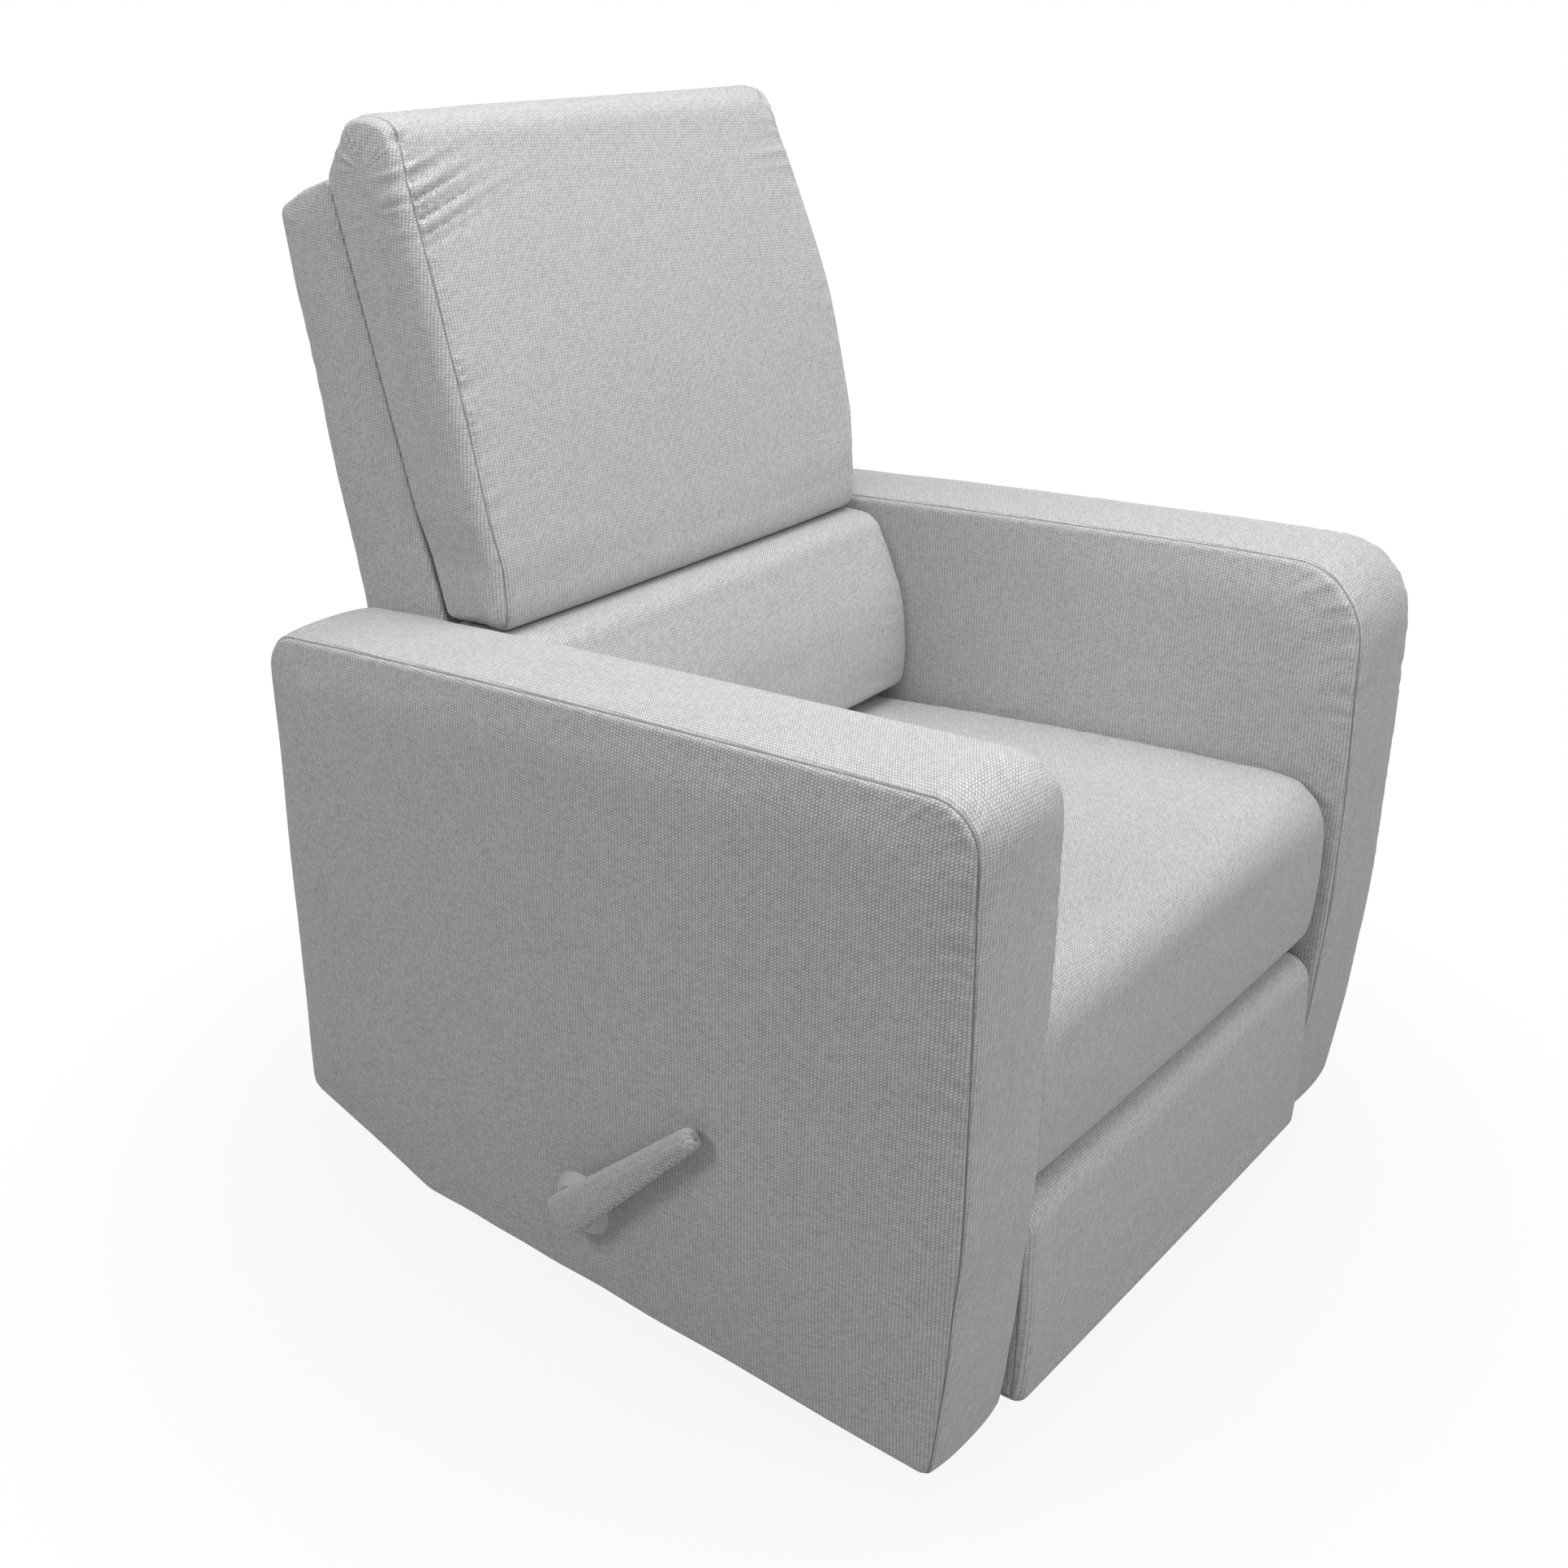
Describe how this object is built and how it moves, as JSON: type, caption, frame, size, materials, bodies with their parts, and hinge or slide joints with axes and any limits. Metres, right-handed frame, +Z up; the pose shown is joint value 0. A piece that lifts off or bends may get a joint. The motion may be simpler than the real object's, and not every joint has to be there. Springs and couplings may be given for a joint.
{
  "type": "recliner armchair",
  "caption": "Upholstered armchair that swivels and glides on a round floor base, with a reclining back and a lever released footrest on a scissor linkage.",
  "frame": {"origin": "centre of the round floor base, on the floor", "axes": "+Z up; the sitter faces -Y; +X is the sitter's left, and the release lever is on -X"},
  "size_m": [0.79, 0.8404, 1.04],
  "materials": {
    "cover_fabric": "woven",
    "timber": "planed",
    "webbing": "woven",
    "floor_rubber": "matte",
    "grey_plastic": "moulded",
    "black_steel": "satin",
    "zinc_steel": "zinc plated"
  },
  "bodies": {
    "base": {"floor_strip": "floor_rubber", "floor_ring": "black_steel", "base_cross": "black_steel", "swivel_lower_plate": "black_steel", "bearing_outer_race": "zinc_steel"},
    "turntable": {"bearing_inner_race": "zinc_steel", "swivel_upper_plate": "black_steel", "glider_crossbars": "black_steel", "glider_stand_left": "black_steel", "glider_stand_right": "black_steel"},
    "front_links": {"front_glide_links": "black_steel"},
    "rear_links": {"rear_glide_links": "black_steel"},
    "chair": {"glide_rail_left": "black_steel", "glide_rail_right": "black_steel", "side_plate_left": "black_steel", "side_plate_right": "black_steel", "cross_tubes": "black_steel", "shaft_bushes": "grey_plastic", "plate_bolts": "zinc_steel", "arm_pad_left": "cover_fabric", "arm_pad_right": "cover_fabric", "arm_frame_left": "timber", "arm_frame_right": "timber", "rear_rail": "timber"},
    "seat": {"seat_rail_left": "black_steel", "seat_rail_right": "black_steel", "seat_side_board_left": "timber", "seat_side_board_right": "timber", "seat_front_board": "timber", "seat_rear_board": "timber", "seat_webbing": "webbing", "seat_cushion": "cover_fabric"},
    "back": {"back_shell": "cover_fabric", "back_frame": "timber", "back_webbing": "webbing", "back_bracket_left": "black_steel", "back_bracket_right": "black_steel", "back_pillow": "cover_fabric", "lumbar_cushion": "cover_fabric"},
    "lever": {"torque_shaft": "zinc_steel", "lever_hub": "grey_plastic", "lever_core": "zinc_steel", "lever_cover": "cover_fabric"},
    "drive": {"drive_links": "zinc_steel"},
    "scissor_one": {"scissor_link_one": "zinc_steel"},
    "scissor_two": {"scissor_link_two": "zinc_steel"},
    "scissor_three": {"scissor_link_three": "zinc_steel"},
    "scissor_four": {"scissor_link_four": "zinc_steel"},
    "tilt_link": {"tilt_links": "zinc_steel"},
    "footrest": {"footrest_bracket_left": "black_steel", "footrest_bracket_right": "black_steel", "footrest_board": "timber", "footrest_pad": "cover_fabric"}
  },
  "joints": [
    {"name": "swivel", "type": "hinge", "parent": "base", "child": "turntable", "pos_m": [0, 0, 0.025], "axis": [0, 0, 1], "continuous": true},
    {"name": "glide", "type": "hinge", "parent": "turntable", "child": "rear_links", "pos_m": [0, 0.105, 0.2], "axis": [1, 0, 0], "range_deg": [-18, 18]},
    {"name": "glide_front", "type": "hinge", "parent": "turntable", "child": "front_links", "pos_m": [0, -0.11, 0.2], "axis": [1, 0, 0], "range_deg": [-19, 19]},
    {"name": "glide_chair", "type": "hinge", "parent": "rear_links", "child": "chair", "pos_m": [0, 0.105, 0.07], "axis": [1, 0, 0], "range_deg": [-19, 19]},
    {"name": "recline", "type": "hinge", "parent": "seat", "child": "back", "pos_m": [0, 0.15, 0.262], "axis": [-1, 0, 0], "range_deg": [0, 32]},
    {"name": "seat_slide", "type": "slide", "parent": "chair", "child": "seat", "axis": [0, -1, 0], "range_m": [0, 0.05337]},
    {"name": "footrest_lift", "type": "hinge", "parent": "chair", "child": "scissor_one", "pos_m": [0, -0.28349, 0.21577], "axis": [-1, 0, 0], "range_deg": [0, 50]},
    {"name": "scissor_two_turn", "type": "hinge", "parent": "scissor_one", "child": "scissor_two", "pos_m": [0, -0.30863, 0.13353], "axis": [-1, 0, 0], "range_deg": [-101, 0]},
    {"name": "scissor_three_turn", "type": "hinge", "parent": "scissor_one", "child": "scissor_three", "pos_m": [0, -0.33377, 0.05128], "axis": [-1, 0, 0], "range_deg": [-101, 0]},
    {"name": "scissor_four_turn", "type": "hinge", "parent": "scissor_two", "child": "scissor_four", "pos_m": [0, -0.31911, 0.21888], "axis": [-1, 0, 0], "range_deg": [0, 101]},
    {"name": "footrest_turn", "type": "hinge", "parent": "scissor_three", "child": "footrest", "pos_m": [0, -0.35474, 0.222], "axis": [-1, 0, 0], "range_deg": [0, 136]},
    {"name": "tilt_link_turn", "type": "hinge", "parent": "scissor_four", "child": "tilt_link", "pos_m": [0, -0.3694, 0.0544], "axis": [-1, 0, 0], "range_deg": [-81.5, 0]},
    {"name": "lever_turn", "type": "hinge", "parent": "chair", "child": "lever", "pos_m": [0, -0.029, 0.1405], "axis": [-1, 0, 0], "range_deg": [0, 51]},
    {"name": "drive_turn", "type": "hinge", "parent": "lever", "child": "drive", "pos_m": [0, -0.046, 0.16995], "axis": [-1, 0, 0], "range_deg": [-51, 0]}
  ],
  "couplings": [
    {"joint": "glide_front", "follows": "glide", "ratio": 1},
    {"joint": "glide_chair", "follows": "glide", "ratio": -1},
    {"joint": "seat_slide", "follows": "recline", "m_per_rad": 0.09377},
    {"joint": "scissor_two_turn", "follows": "footrest_lift", "ratio": -2},
    {"joint": "scissor_three_turn", "follows": "footrest_lift", "ratio": -2},
    {"joint": "scissor_four_turn", "follows": "footrest_lift", "ratio": 2},
    {"joint": "footrest_turn", "follows": "footrest_lift", "ratio": 2.7},
    {"joint": "tilt_link_turn", "follows": "footrest_lift", "ratio": -1.61},
    {"joint": "lever_turn", "follows": "footrest_lift", "ratio": 1},
    {"joint": "drive_turn", "follows": "footrest_lift", "ratio": -1}
  ]
}
